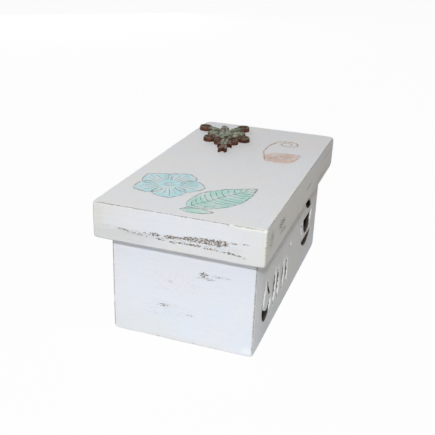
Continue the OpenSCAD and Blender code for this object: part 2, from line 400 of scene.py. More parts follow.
def paint_tone(graph, place, coat, strokes, grit):
    """The paint's colour: cool and warm clouds, thin brush strokes, mottling, stained places, and
    painted highlights and shade.
    """
    colour, brushed = coat["colour"], coat["brushed"]
    cloud = graph.step(graph.noise(place, CLOUDS, coat["shift"]), *CLOUD_STEP)
    thin = shaded(colour, THIN_SHADE)
    tone = graph.mix(cloud, shaded(colour, COOL_SHADE), shaded(colour, WARM_SHADE))
    tone = graph.mix(graph.step(strokes, *STROKE_STEP, 0.0, brushed), tone, thin)
    tone = graph.mix(graph.step(grit, *MOTTLE_STEP, 0.0, MOTTLED*brushed), tone, thin)
    ragged = graph.step(strokes, *TINT_STEP)
    for centre, reach, amount, tint in coat["stains_and_painted_light"]:
        soft = graph.math("MULTIPLY", graph.spot(place, centre, reach), amount)
        tone = graph.mix(graph.math("MULTIPLY", soft, ragged), tone, srgb(*tint))
    return tone


def rub_density(graph, place, rubs):
    """How far the paint is rubbed away, from 0 to 1."""
    if not rubs:
        return 0.0
    spots = [
        graph.math("MULTIPLY", graph.spot(place, centre, reach), amount)
        for centre, reach, amount in rubs
    ]
    return graph.math("MINIMUM", graph.fold("ADD", spots), 1.0)


def sanded_line(graph, distance, chips, stretches, shape):
    """A thin line along an arris, frayed at its edge and broken into stretches."""
    fray, edge, stretch = shape
    frayed = graph.math("ADD", distance, graph.math("MULTIPLY", chips, fray))
    return graph.math("MULTIPLY", graph.step(frayed, *edge), graph.step(stretches, *stretch))


def bare_share(graph, place, coat, density, is_top, grit):
    """How far the undercoat shows: in flecks, hairlines, chips and sanded lines."""
    flecks = graph.step(graph.noise(place, FLECKS, coat["shift"]), *FLECK_STEP)
    rubbed = graph.math("ADD", flecks, graph.math("MULTIPLY", density, RUB_WEIGHT))
    # Where the brush ran dry, hairlines show on the walls
    hairs = graph.step(graph.noise(place, HAIRLINES, coat["shift"]), *HAIR_STEP)
    hairs = graph.math("MULTIPLY", hairs, graph.step(density, *HAIR_IN_RUB_STEP))
    on_wall = graph.math("SUBTRACT", 1.0, is_top)
    # Chips and sanded lines lie along the arrises
    chips = graph.noise(place, CHIPS, coat["shift"])
    stretches = graph.noise(place, STRETCHES, coat["shift"])
    to_top, to_corner, to_foot = near_arris(graph, place, *coat["size"])
    worn = graph.fold("ADD", [
        graph.step(to_top, *TOP_WEAR),
        graph.step(to_corner, *CORNER_WEAR),
        graph.step(to_foot, *FOOT_WEAR),
    ])
    along_top = sanded_line(graph, to_top, chips, stretches, TOP_LINE)
    down_corner = sanded_line(graph, to_corner, chips, stretches, CORNER_LINE)
    along_foot = sanded_line(graph, to_foot, chips, stretches, FOOT_LINE)
    return graph.fold("MAXIMUM", [
        graph.step(rubbed, *BARE_STEP),
        graph.step(rubbed, *THINNED_STEP),
        graph.math("MINIMUM", hairs, on_wall),
        graph.step(graph.math("ADD", chips, worn), *CHIP_STEP),
        graph.math("MULTIPLY", along_top, graph.step(grit, *TOP_LINE_STEP)),
        graph.math("MULTIPLY", down_corner, coat["corners"]),
        graph.math("MULTIPLY", along_foot, FOOT_LINE_STRENGTH),
    ])


def chalk_paint(graph, coat):
    """Brushed chalk paint with bare places: gives its colour, roughness and height."""
    place = graph.position()
    top = coat["size"][2]
    is_top = graph.step(graph.split(place)[2], top - TOP_BEGINS, top - TOP_FULL)
    # Brush strokes run along each wall, and along the length on top
    on_walls = graph.noise(place, WALL_STROKES, coat["shift"])
    on_top = graph.noise(place, TOP_STROKES, coat["shift"])
    strokes = graph.node("ShaderNodeMix", {0: is_top, 2: on_walls, 3: on_top}).outputs[0]
    grit = graph.noise(place, GRIT, coat["shift"])
    density = rub_density(graph, place, coat["rubs"])
    bare = bare_share(graph, place, coat, density, is_top, grit)

    brown = graph.mix(graph.step(grit, *BROWN_STEP), DARK_UNDERCOAT, WARM_UNDERCOAT)
    under = graph.mix(graph.step(density, *WARM_IN_RUB_STEP), DARK_UNDERCOAT, brown)
    tone = paint_tone(graph, place, coat, strokes, grit)
    tone = graph.mix(graph.math("MULTIPLY", bare, BARENESS), tone, under)

    height = graph.math("ADD", graph.math("MULTIPLY", strokes, STROKE_H),
                        graph.math("MULTIPLY", grit, GRIT_H))
    height = graph.math("SUBTRACT", height, graph.math("MULTIPLY", bare, BARE_H))
    roughness = graph.step(bare, 0.0, 1.0, PAINT_ROUGHNESS, BARE_ROUGHNESS)
    return tone, roughness, height


LID_SIZE = (LID_HALF_W, LID_HALF_L, LID_TOP, RAIL_FOOT)
BOX_SIZE = (BOX_HALF_W, BOX_HALF_L, BOX_TOP, 0.0)

# Stained places in the paint, and some painted highlights and painted shade: centre, reach,
# strength and colour
LID_STAINS_AND_PAINTED_LIGHT = [
    ((-53, -102, 82), (7, 6, 16), 0.55, (212, 211, 200)),
    # Partly cream worn paint, partly a painted highlight along the top arris at the right
    ((47, -102, 92.6), (16, 5, 1.4), 0.8, (240, 238, 226)),
    # Painted highlight down the lid's front right corner
    ((54.5, -101.5, 82), (1.6, 1.6, 16), 0.9, (243, 243, 241)),
    ((-36, -102, 74), (36, 5, 6), 0.85, (205, 206, 205)),
    ((24, -102, 71), (44, 5, 6), 0.5, (215, 215, 213)),
    ((4, -102, 85), (58, 3, 13), 0.6, (221, 227, 236)),
    ((50, -102, 82), (12, 3, 24), 0.6, (221, 222, 219)),
    ((55, -30, 82), (4, 110, 22), 0.8, (221, 218, 207)),
    ((55, 70, 82), (4, 60, 16), 0.5, (218, 210, 202)),
    ((55, 74, 86), (3, 26, 2.2), 0.5, (200, 184, 172)),
    ((55, 58, 74), (3, 26, 3), 0.6, (194, 176, 162)),
    # These two are partly warm patches, partly painted warm shade along the foot of the lid's side
    ((55, 16, 70.5), (3, 26, 2.4), 0.5, (192, 178, 164)),
    ((55, 30, 71), (3, 110, 5), 0.45, (216, 202, 184)),
    ((55, -98, 80), (3, 12, 18), 0.5, (219, 216, 200)),
    ((20, 60, 93.5), (60, 60, 4), 0.35, (218, 213, 213)),
]
BOX_STAINS_AND_PAINTED_LIGHT = [
    # Painted highlight at the foot of the front right corner
    ((44, -91, 4), (5, 3, 4), 0.6, (244, 246, 248)),
    ((-30, -91, 6), (40, 3, 16), 0.6, (226, 227, 226)),
    ((0, -91, 0), (56, 3, 5), 0.5, (222, 221, 216)),
    ((48, 0, 40), (3, 140, 60), 0.85, (225, 223, 217)),
    ((48, 70, 40), (3, 50, 40), 0.4, (214, 206, 198)),
    # Painted warm shade on the side just under the lid, towards the rear
    ((48, 60, 66), (3, 60, 9), 0.6, (218, 208, 196)),
    ((48, -34, 68), (3, 26, 4), 0.6, (232, 226, 206)),
    # Painted light: the side beside the front corner is made lighter
    ((48.65, -91, 30), (1.85, 26, 70), 1.0, (240, 241, 242)),
    ((-48, 0, 40), (3, 160, 80), 0.6, (226, 227, 226)),
    ((0, 91, 40), (80, 3, 80), 0.6, (226, 227, 226)),
]

# A coat: how much its brush strokes and its lines down the corners show, and the shift of its
# noise
LID_COAT = {
    "colour": LID_PAINT, "stains_and_painted_light": LID_STAINS_AND_PAINTED_LIGHT,
    "rubs": front_rubs(LID_HALF_L, LID_FRONT_RUBS) + LID_SIDE_RUBS,
    "size": LID_SIZE, "brushed": 0.4, "corners": 0.12, "shift": 0,
}
WASHED_COAT = {**LID_COAT, "rubs": []}
BOX_COAT = {
    "colour": BOX_PAINT, "stains_and_painted_light": BOX_STAINS_AND_PAINTED_LIGHT,
    "rubs": front_rubs(BOX_HALF_L, BOX_FRONT_RUBS) + BOX_SIDE_RUBS,
    "size": BOX_SIZE, "brushed": 0.25, "corners": 0.64, "shift": 40,
}


def lid_paint():
    graph = material_graph("lid_paint")
    tone, roughness, height = chalk_paint(graph, LID_COAT)
    return graph.finish(tone, roughness, height, PAINT_DEPTH)


# The cut-outs lie between these heights, and the painted highlight on their walls fades in over
# this height
CUT_LOW = 8
CUT_HIGH = 60
CUT_FADE = 1
# It begins and is full this far in from the outer face. It fades out over these lengths past
# the inner face and by an end board
CUT_BEGINS = 0.15
CUT_FULL = 0.35
CUT_PAST = 0.5
CUT_TO_END = 2
# How far the inside's painted shade creeps into a cut from the inner face, and how sharply it ends
CREEP_STEP = (0.3, 0.7, 1.7, 2.4)
CREEP_EDGE = (0.0, -0.2)
END_EDGE = (0.15, 0.05)
# Soot lies on what faces up. Painted shade lies at the foot of the cuts: it is full up to one
# height over CUT_LOW, and gone at the other
SOOT_STEP = (0.55, 0.8)
FOOT_SHADE_FULL = 8
FOOT_SHADE_GONE = 11
FOOT_SHADE_JITTER_H = 5
SOOT_AND_SHADE_STRENGTH = 0.92
STREAK_STEP = (0.35, 0.65)


def past_end_board(graph, place):
    """How far a place lies past the inner face of an end board."""
    y = graph.split(place)[1]
    return graph.math("SUBTRACT", graph.math("ABSOLUTE", y), INNER_HALF_L)


def inside_share(graph, place):
    """1 on the inside and as far as its painted shade creeps into the cut-outs, 0 outside."""
    x = graph.split(place)[0]
    creep = graph.step(graph.noise(place, SHADE_CREEP), *CREEP_STEP)
    past_side = graph.math("SUBTRACT", graph.math("ABSOLUTE", x), INNER_HALF_W)
    return graph.math("MULTIPLY",
                      graph.step(graph.math("SUBTRACT", past_side, creep), *CREEP_EDGE),
                      graph.step(past_end_board(graph, place), *END_EDGE))


def cut_share(graph, place):
    """1 on the walls of the cut-outs, 0 elsewhere."""
    x, y, z = graph.split(place)
    return graph.fold("MULTIPLY", [
        graph.step(x, BOX_HALF_W - CUT_BEGINS, BOX_HALF_W - CUT_FULL),
        graph.step(x, INNER_HALF_W - CUT_PAST, INNER_HALF_W),
        graph.step(z, CUT_LOW, CUT_LOW + CUT_FADE),
        graph.step(z, CUT_HIGH, CUT_HIGH - CUT_FADE),
        graph.step(past_end_board(graph, place), 0.0, -CUT_TO_END),
    ])


def soot_and_shade_share(graph, place):
    """Soot from the cutting on what faces up, and painted shade at the foot of the cut-outs."""
    z = graph.split(place)[2]
    jitter = graph.math("MULTIPLY", graph.noise(place, FOOT_SHADE_JITTER), FOOT_SHADE_JITTER_H)
    at_foot = graph.step(graph.math("ADD", z, jitter), CUT_LOW + FOOT_SHADE_GONE, CUT_LOW + FOOT_SHADE_FULL)
    return graph.math("MAXIMUM", graph.step(graph.upward(), *SOOT_STEP), at_foot)


def box_paint():
    """Chalk paint outside, with a painted highlight on the cut walls. Inside, dark painted shade
    creeps into the cut-outs.
    """
    graph = material_graph("box_paint")
    tone, roughness, height = chalk_paint(graph, BOX_COAT)
    place = graph.position()
    in_cut = cut_share(graph, place)
    # Soot on what faces up, and painted shade at the foot of the cuts
    soot_and_shade = graph.math("MULTIPLY", in_cut, soot_and_shade_share(graph, place))
    soot_and_shade = graph.math("MULTIPLY", soot_and_shade, SOOT_AND_SHADE_STRENGTH)
    dark = graph.math("MAXIMUM", inside_share(graph, place), soot_and_shade)
    streaks = graph.step(graph.noise(place, INSIDE_STREAKS), *STREAK_STEP)
    # The inside's dark brown is painted shade
    inside_shade = graph.mix(streaks, INSIDE_PAINTED_SHADE, INSIDE_SHADE_GRAIN)
    # The walls of the cut-outs get a painted highlight
    tone = graph.mix(in_cut, tone, CUT_WALL_HIGHLIGHT)
    return graph.finish(graph.mix(dark, tone, inside_shade), roughness, height, PAINT_DEPTH)


WASH_POOLS = ((9, 9, 9), 3, 0.55, 3)
WASH_GRAIN = ((1.0, 3.0, 1.0), 2, 0.5, 9)
POOL_STEP = (0.34, 0.6, 0.3, 0.95)
WASH_GRAIN_STEP = (0.3, 0.6, 0.8, 1.0)


def wash_paint(name, wash):
    """Lid paint under a thin wash, which fades where the piece's own wash value falls."""
    graph = material_graph(name)
    tone, roughness, height = chalk_paint(graph, WASHED_COAT)
    place = graph.position()
    strength = graph.fold("MULTIPLY", [
        graph.node("ShaderNodeAttribute", {}, attribute_name="wash").outputs["Fac"],
        graph.step(graph.noise(place, WASH_POOLS), *POOL_STEP),
        graph.step(graph.noise(place, WASH_GRAIN), *WASH_GRAIN_STEP),
    ])
    tone = graph.mix(strength, tone, srgb(*wash))
    return graph.finish(tone, roughness, height, PAINT_DEPTH)


INK_PATCHES = ((3, 3, 3), 3, 0.65, 0)
INK_GRIT = ((0.4, 0.4, 0.4), 2, 0.5, 0)
INK_STEP = (0.34, 0.52, 0.3, 0.95)
INK_ROUGHNESS = 0.7
INK_DEPTH = 0.04


def pen_ink(name, colour):
    """Ink that has taken in patches."""
    graph = material_graph(name)
    place = graph.position()
    patches = graph.step(graph.noise(place, INK_PATCHES), *INK_STEP)
    ink = graph.mix(patches, srgb(*LID_PAINT), srgb(*colour))
    return graph.finish(ink, INK_ROUGHNESS, graph.noise(place, INK_GRIT), INK_DEPTH)


BLOTCHES = ((3.6, 3.6, 3.6), 3, 0.6, 0)
SPECKS = ((0.8, 0.8, 0.8), 3, 0.65, 7)
BLOTCH_STEP = (0.4, 0.6)
# The cast's browns, its brown where it lies flat, its greens, and the cream on them
BROWNS = (srgb(52, 26, 16), srgb(90, 50, 32))
FLAT_BROWN = srgb(64, 44, 29)
FLAT_STEP = (0.2, 0.7, 0.0, 0.85)
GREENS = (srgb(95, 114, 97), srgb(148, 155, 136))
CREAM = srgb(198, 184, 158)
CREAM_STEP = (0.6, 0.7, 0.0, 0.8)
# The green lies over this height, on what faces up, and thinly in places
HIGH_STEP = (3.5, 4.3)
UPWARD_STEP = (0.3, 0.75)
COVER_STEP = (0.36, 0.5, 0.45, 0.95)
BROWN_ROUGHNESS = 0.5
GREEN_ROUGHNESS = 0.85
CAST_DEPTH = 0.12
CAST_SHADER = {"Specular IOR Level": 0.25}


def ornament_finish():
    """Dark copper brown, with a dry verdigris green on what stands high."""
    graph = material_graph("ornament_patina")
    place = graph.position()
    upward = graph.upward()
    blotch = graph.noise(place, BLOTCHES)
    speck = graph.noise(place, SPECKS)
    brown = graph.mix(graph.step(blotch, *BLOTCH_STEP), *BROWNS)
    brown = graph.mix(graph.step(upward, *FLAT_STEP), brown, FLAT_BROWN)
    green = graph.mix(graph.step(blotch, *BLOTCH_STEP), *GREENS)
    green = graph.mix(graph.step(blotch, *CREAM_STEP), green, CREAM)
    height = graph.math("SUBTRACT", graph.split(place)[2], LID_TOP)
    cover = graph.fold("MULTIPLY", [
        graph.step(graph.math("ADD", height, speck), *HIGH_STEP),
        graph.step(upward, *UPWARD_STEP),
        graph.step(blotch, *COVER_STEP),
    ])
    rough = graph.step(cover, 0.0, 1.0, BROWN_ROUGHNESS, GREEN_ROUGHNESS)
    return graph.finish(graph.mix(cover, brown, green), rough, speck, CAST_DEPTH, CAST_SHADER)


# ------------------------------ the boards

BOX_NODES = ["front_end_board", "back_end_board", "left_side_board", "base_board",
             "front_divider", "rear_divider"]
LID_NODES = ["lid_top_board", "lid_front_rail", "lid_rear_rail", "lid_left_rail",
             "lid_right_rail"]
PIERCED_NODE = "right_side_board"
# How far the sanding rounds an arris, and how much more at a corner in front and at the rear
ARRIS_R = 0.8
FRONT_CORNER_EXTRA = 1.0
REAR_CORNER_EXTRA = 2.4
CORNER_REACH = 7
# Distance in from an arris of the rings of points that shape it
ARRIS_RINGS = (0, 0.2, 0.5, 0.9, 1.4, 2.1, 3, 5, 8)
BOARD_STEP = 6
# Points also lie this far to each side of where another board ends
MEET_GAP = 0.15
# The radius wanders by a share of itself, and grows in nicks where their noise is high
WANDER = 0.3
WANDER_RATE = 0.16
NICK_R = 0.6
NICK_RATE = 0.55
NICK_SHIFT = Vector((9, 4, 2))
NICK_FROM = 0.38
# The lips of the cut-outs are the sharp edges of the pierced board off its rim
LIP_R = 0.3
LIP_ANGLE = math.radians(30)
RIM_W = 1.6
FACE_GAP = 0.01
THICKNESS_RINGS = (0.5, 1.0)
WELD = 0.001
FLAT_ANGLE = math.radians(0.5)


def node_box(node):
    lowest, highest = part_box(node)
    return lowest/MM, highest/MM


def neighbours_of(node, nodes):
    return [node_box(other) for other in nodes if other != node]


def board_steps(low, high, meets):
    """Places from low to high: close together by both ends and by each board that meets it."""
    steps = {round(low + ring, 3) for ring in ARRIS_RINGS if low + ring < (low + high)/2}
    steps |= {round(high - ring, 3) for ring in ARRIS_RINGS if high - ring > (low + high)/2}
    count = max(1, round((high - low)/BOARD_STEP))
    for i in range(1, count):
        place = low + i*(high - low)/count
        if min(abs(place - step) for step in steps) > BOARD_STEP/3:
            steps.add(round(place, 3))
    for edge in meets:
        if low + 0.1 < edge < high - 0.1:
            steps |= {round(edge + gap, 3) for gap in (-MEET_GAP, 0, MEET_GAP)}
    return sorted(steps)


def is_covered(point, axis, side, box, neighbours):
    """Whether a board lies against this side of the box at this point."""
    inside = 0.3
    probe = Vector(point)
    for other in range(3):
        probe[other] = min(max(probe[other], box[0][other] + inside), box[1][other] - inside)
    probe[axis] = box[side][axis] + (inside if side else -inside)
    return any(
        all(low[i] <= probe[i] <= high[i] for i in range(3)) for low, high in neighbours
    )


def arris_radius(point, whole):
    """The sanded radius: it varies along an arris and grows towards the corners."""
    wander = noise.noise(Vector(point)*WANDER_RATE)
    nick = max(0.0, noise.noise(Vector(point)*NICK_RATE + NICK_SHIFT) - NICK_FROM)
    reach = sorted(
        min(abs(point[i] - whole[0][i]), abs(point[i] - whole[1][i])) for i in range(3)
    )[2]
    corner = max(0.0, 1 - reach/CORNER_REACH)
    extra = REAR_CORNER_EXTRA if point[1] > 0 else FRONT_CORNER_EXTRA
    return ARRIS_R*(1 + WANDER*wander) + NICK_R*nick + extra*corner*corner


def soften(point, box, whole, neighbours):
    """Moves a point of a sharp box onto the box with sanded arrises."""
    radius = arris_radius(point, whole)
    core = list(point)
    for axis in range(3):
        for side in (0, 1):
            near = abs(point[axis] - box[side][axis]) < radius
            if near and not is_covered(point, axis, side, box, neighbours):
                inner = box[side][axis] + (-radius if side else radius)
                core[axis] = min(core[axis], inner) if side else max(core[axis], inner)
    out = Vector(point) - Vector(core)
    if out.length > radius:
        out *= radius/out.length
    return Vector(core) + out


def new_piece(name, mesh, material, body):
    piece = bpy.data.objects.new(name, mesh)
    bpy.context.scene.collection.objects.link(piece)
    piece.data.materials.clear()
    piece.data.materials.append(material)
    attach(piece, body)
    return piece


def mesh_from(form, name, smooth=True):
    """A mesh from a bmesh in millimetres."""
    bmesh.ops.recalc_face_normals(form, faces=form.faces)
    for face in form.faces:
        face.smooth = smooth
    form.transform(Matrix.Scale(MM, 4))
    mesh = bpy.data.meshes.new(name)
    form.to_mesh(mesh)
    form.free()
    return mesh


def stand_for(node, form, smooth, material, body):
    """Makes a shape the painted piece that stands for a node."""
    mesh = mesh_from(form, node + "_painted", smooth)
    piece = new_piece(node + "_painted", mesh, material, body)
    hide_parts(node)


def soft_board(node, body_nodes, whole, material, body):
    """A plain board with its sanded arrises, which stands for its node."""
    box = node_box(node)
    neighbours = neighbours_of(node, body_nodes)
    steps = [
        board_steps(box[0][axis], box[1][axis], [b[s][axis] for b in neighbours for s in (0, 1)])
        for axis in range(3)
    ]
    form = bmesh.new()
    made = {}

    def vertex(index):
        if index not in made:
            point = [steps[axis][index[axis]] for axis in range(3)]
            made[index] = form.verts.new(soften(point, box, whole, neighbours))
        return made[index]

    for axis in range(3):
        across, along = [other for other in range(3) if other != axis]
        for end in (0, len(steps[axis]) - 1):
            for i in range(len(steps[across]) - 1):
                for j in range(len(steps[along]) - 1):
                    corners = []
                    for a, b in ((i, j), (i + 1, j), (i + 1, j + 1), (i, j + 1)):
                        index = [0, 0, 0]
                        index[axis], index[across], index[along] = end, a, b
                        corners.append(vertex(tuple(index)))
                    form.faces.new(corners)
    stand_for(node, form, True, material, body)


def pierced_board(node, body_nodes, whole, material, body):
    """The side board with its cut-outs, their edges eased and its outer arrises sanded."""
    box = node_box(node)
    neighbours = neighbours_of(node, body_nodes)
    form = bmesh.new()
    form.from_mesh(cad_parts[node].data)
    form.transform(Matrix.Scale(1/MM, 4))
    bmesh.ops.remove_doubles(form, verts=form.verts, dist=WELD)
    bmesh.ops.dissolve_limit(form, angle_limit=FLAT_ANGLE, verts=form.verts, edges=form.edges)

    def on_face(vertex):
        return min(abs(vertex.co.x - box[side].x) for side in (0, 1)) < FACE_GAP

    def on_rim(vertex):
        return any(abs(vertex.co[a] - box[s][a]) < RIM_W for a in (1, 2) for s in (0, 1))

    lips = [
        edge for edge in form.edges
        if len(edge.link_faces) == 2 and edge.calc_face_angle(0) > LIP_ANGLE
        and all(on_face(v) and not on_rim(v) for v in edge.verts)
    ]
    bmesh.ops.bevel(form, geom=lips, offset=LIP_R, segments=2, profile=0.5, affect="EDGES")
    for axis in (0, 1, 2):
        normal = [0, 0, 0]
        normal[axis] = 1
        rings = THICKNESS_RINGS if axis == 0 else ARRIS_RINGS[1:]
        for ring in rings:
            for place in (box[0][axis] + ring, box[1][axis] - ring):
                cut = [0, 0, 0]
                cut[axis] = place
                everything = form.verts[:] + form.edges[:] + form.faces[:]
                bmesh.ops.bisect_plane(form, geom=everything, plane_co=cut, plane_no=normal)
    for vertex in form.verts:
        vertex.co = soften(list(vertex.co), box, whole, neighbours)
    stand_for(node, form, False, material, body)


def make_boards(lid_material, box_material):
    lid_whole = (Vector((-LID_HALF_W, -LID_HALF_L, RAIL_FOOT)),
                 Vector((LID_HALF_W, LID_HALF_L, LID_TOP)))
    box_whole = (Vector((-BOX_HALF_W, -BOX_HALF_L, 0)),
                 Vector((BOX_HALF_W, BOX_HALF_L, BOX_TOP)))
    box_nodes = BOX_NODES + [PIERCED_NODE]
    for node in LID_NODES:
        soft_board(node, LID_NODES, lid_whole, lid_material, "lid")
    for node in BOX_NODES:
        soft_board(node, box_nodes, box_whole, box_material, "box")
    pierced_board(PIERCED_NODE, box_nodes, box_whole, box_material, "box")


# ------------------------------ the drawings

WASH_RISE = 0.05
WASH_STEP = 0.007
INK_RISE = 0.1
SUNK = 0.05
# Widths in mm of the strokes of each pen
FINE_PEN = 0.34
PEN = 0.46
BROAD_PEN = 1.7
# A stroke's width as a share of its pen's: at its ends, added in its middle, and how it strays
PRESS_AT_ENDS = 0.4
PRESS_SWELL = 0.6
PRESS_STRAY = 0.5
PRESS_RATE = 0.4
LEAF_POINTS = 26
LEAF_FULLNESS = 0.9
WOBBLE_RATE = 0.12
WOBBLE_SHIFT = 31
WASH_STRAY = 2.2
# Rings of a wash: share of its outline, whether it is raised there, and its strength
WASH_RINGS = ((1.06, 0, 0.0), (1.02, 1, 0.15), (0.95, 1, 0.65),
              (0.84, 1, 0.9), (0.68, 1, 0.9), (0.45, 1, 0.75))
BLUE = (160, 213, 219)
GREEN = (150, 206, 192)
PINK = (214, 178, 160)
BROWN_INK = (92, 86, 74)
GREEN_INK = (56, 82, 66)
PINK_INK = (172, 146, 130)


def turned(points, at, degrees):
    """Points of a shape drawn upright at the origin, turned to the right and moved."""
    c, s = math.cos(math.radians(degrees)), math.sin(math.radians(degrees))
    return [(at[0] + x*c + y*s, at[1] - x*s + y*c) for x, y in points]


def leaf_half(width, share, blunt):
    """Half a leaf's width at a share of its length. A high blunt makes it broadest far up."""
    return width/2*math.sin(math.pi*share**blunt)**LEAF_FULLNESS


def leaf_shape(length, width, blunt):
    """A pointed leaf from its foot at the origin to its tip at (0, length)."""
    shares = [i/LEAF_POINTS for i in range(LEAF_POINTS + 1)]
    right = [(leaf_half(width, t, blunt), t*length) for t in shares]
    left = [(-leaf_half(width, t, blunt), t*length) for t in reversed(shares[1:-1])]
    return right + left


def wobble(points, amount, seed):
    """A hand's unsteadiness: the points stray by up to about the amount."""
    return [
        (x + amount*noise.noise(Vector((x*WOBBLE_RATE, y*WOBBLE_RATE, seed))),
         y + amount*noise.noise(Vector((x*WOBBLE_RATE, y*WOBBLE_RATE, seed + WOBBLE_SHIFT))))
        for x, y in points
    ]


def add_wash(form, layer, outline, seed):
    """A thin film of wash. It strays from the outline, pools near it and fades out past it."""
    middle = [sum(p[i] for p in outline)/len(outline) for i in (0, 1)]
    loose = wobble(outline, WASH_STRAY, seed)
    # Washes that overlap lie one on another
    top = WASH_RISE + WASH_STEP*seed
    loops = []
    for share, raised, amount in WASH_RINGS:
        loop = []
        for x, y in loose:
            place = (middle[0] + share*(x - middle[0]), middle[1] + share*(y - middle[1]))
            vertex = form.verts.new((*place, LID_TOP + raised*top))
            vertex[layer] = amount
            loop.append(vertex)
        loops.append(loop)
    under = [form.verts.new((v.co.x, v.co.y, LID_TOP - SUNK)) for v in loops[0]]
    for outer, inner in zip([under] + loops[:-1], loops):
        for i in range(len(outer)):
            j = (i + 1) % len(outer)
            form.faces.new((outer[i], outer[j], inner[j], inner[i]))
    centre = form.verts.new((*middle, LID_TOP + top))
    centre[layer] = WASH_RINGS[-1][2]
    for i in range(len(loose)):
        form.faces.new((loops[-1][i], loops[-1][(i + 1) % len(loose)], centre))
    form.faces.new(list(reversed(under)))


def add_stroke(form, points, width):
    """One pen stroke: a flat ribbon that thins out at both ends and varies between them."""
    rails = []
    last = len(points) - 1
    for i, point in enumerate(points):
        before, after = Vector(points[max(i - 1, 0)]), Vector(points[min(i + 1, last)])
        across = (after - before).orthogonal().normalized()
        press = PRESS_AT_ENDS + PRESS_SWELL*math.sin(math.pi*(i + 0.5)/(last + 1))
        stray = noise.noise(Vector((point[0]*PRESS_RATE, point[1]*PRESS_RATE, width)))
        press *= 1 + PRESS_STRAY*stray
        half = across*width/2*press
        rail = []
        for side, z in ((-1, LID_TOP - SUNK), (1, LID_TOP - SUNK), (1, LID_TOP + INK_RISE),
                        (-1, LID_TOP + INK_RISE)):
            spot = Vector(point) + side*half
            rail.append(form.verts.new((spot.x, spot.y, z)))
        rails.append(rail)
    for one, two in zip(rails, rails[1:]):
        for i in range(4):
            j = (i + 1) % 4
            form.faces.new((one[i], one[j], two[j], two[i]))
    form.faces.new(rails[0])
    form.faces.new(list(reversed(rails[-1])))


def line(start, end, count, sag):
    """Points from start to end, bowed sideways by sag."""
    start, end = Vector(start), Vector(end)
    side = (end - start).orthogonal().normalized()
    return [
        tuple(start.lerp(end, i/count) + side*sag*math.sin(math.pi*i/count))
        for i in range(count + 1)
    ]


def drawn_twice(outline, seed, loose=1.3):
    """A closed outline as a pen goes round it twice, each time a little off."""
    closed = outline + outline[:2]
    return [(wobble(closed, loose, seed), FINE_PEN), (wobble(closed, loose, seed + 7), FINE_PEN)]


def blossom():
    """Five petals with long hatching, which stop short of a small eye."""
    at, reach, wide = (-24, -56), 24, 21
    washes, strokes = [], []
    for i in range(5):
        turn = 72*i + 14
        petal = turned(leaf_shape(reach, wide, 1.35), at, turn)
        washes.append(petal)
        for again in (0, 7):
            strokes.append((wobble(petal[6:-6], 1.3, 3 + i + again), FINE_PEN))
        for share in (-0.5, -0.25, 0.0, 0.25, 0.5):
            end = (share*wide*0.75, reach*(0.9 - 0.5*abs(share)))
            hatch = line((share*wide*0.3, reach*0.3), end, 8, 0.4)
            strokes.append((wobble(turned(hatch, at, turn), 0.8, i + share), FINE_PEN))
    for r in (2.0, 3.0):
        eye = [(at[0] + r*math.cos(0.35*k), at[1] + r*math.sin(0.35*k)) for k in range(20)]
        strokes.append((wobble(eye, 0.5, r), FINE_PEN))
    return washes, strokes


def tea_leaf():
    """A broad leaf with close veins, and a slim leaf beside its stalk."""
    foot, long, wide, blunt, turn = (1, -88), 56, 27, 0.82, 33
    leaf = turned(leaf_shape(long, wide, blunt), foot, turn)
    slim = turned(leaf_shape(21, 7.5, 0.9), (-2, -92), 84)
    strokes = drawn_twice(leaf, 20) + drawn_twice(slim, 23, 0.7)
    midrib = line((0, -5), (0, long), 16, 1.0)
    strokes.append((wobble(turned(midrib, foot, turn), 0.6, 24), PEN))
    for i in range(11):
        along = 4 + i*4.2
        spread = leaf_half(wide, (along + 4)/long, blunt) - 1.4
        for side in (-1, 1):
            vein = line((0, along), (side*spread, along + 6), 8, -side*0.8)
            strokes.append((wobble(turned(vein, foot, turn), 0.5, i*side), PEN))
    return [leaf, slim], strokes


def rosebud():
    """A furled bud with its sepals, and a tendril that ends in a coil."""
    foot, long, wide, blunt, turn = (19, 20), 30, 24, 0.78, 48
    bud = turned(leaf_shape(long, wide, blunt), foot, turn)
    strokes = drawn_twice(bud, 40, 1.0)
    for side in (-1, 0.2, 1):
        fold = line((0, 2), (side*4, 24), 12, side*5.6)
        strokes.append((wobble(turned(fold, foot, turn), 0.5, 44 + side), PEN))
    # Close scribble shades the bud
    for i in range(12):
        along = 5 + i*1.7
        spread = leaf_half(wide - 4, along/long, blunt)
        shade = line((-spread, along - 2), (spread, along + 2), 8, 0.6)
        strokes.append((wobble(turned(shade, foot, turn), 0.9, 52 + i), PEN))
    for side in (-1, 1):
        sepal = line((0, 0), (side*7.5, 10.5), 8, -side*1.8)
        strokes.append((wobble(turned(sepal, foot, turn), 0.4, 47 + side), PEN))
    # Out of the foot the tendril swings back and winds up in a coil
    swing = [(foot[0] - 6*math.sin(0.11*k), foot[1] + 1.9*k) for k in range(24)]
    coil_at = swing[-1]
    coil = [
        (coil_at[0] + 10 - (10 - 0.22*k)*math.cos(0.3*k),
         coil_at[1] + (8 - 0.18*k)*math.sin(0.3*k))
        for k in range(36)
    ]
    strokes.append((wobble(swing + coil[1:], 0.8, 50), BROAD_PEN))
    return [bud], strokes


def make_drawing(name, drawing, wash, ink):
    washes, strokes = drawing()
    form = bmesh.new()
    layer = form.verts.layers.float.new("wash")
    for seed, outline in enumerate(washes):
        add_wash(form, layer, outline, seed)
    mesh = mesh_from(form, name + "_wash", smooth=False)
    new_piece(name + "_wash", mesh, wash_paint(name + "_wash", wash), "lid")
    form = bmesh.new()
    for points, pen in strokes:
        add_stroke(form, points, pen)
    mesh = mesh_from(form, name + "_lines", smooth=False)
    new_piece(name + "_lines", mesh, pen_ink(name + "_ink", ink), "lid")


# ------------------------------ the ornament

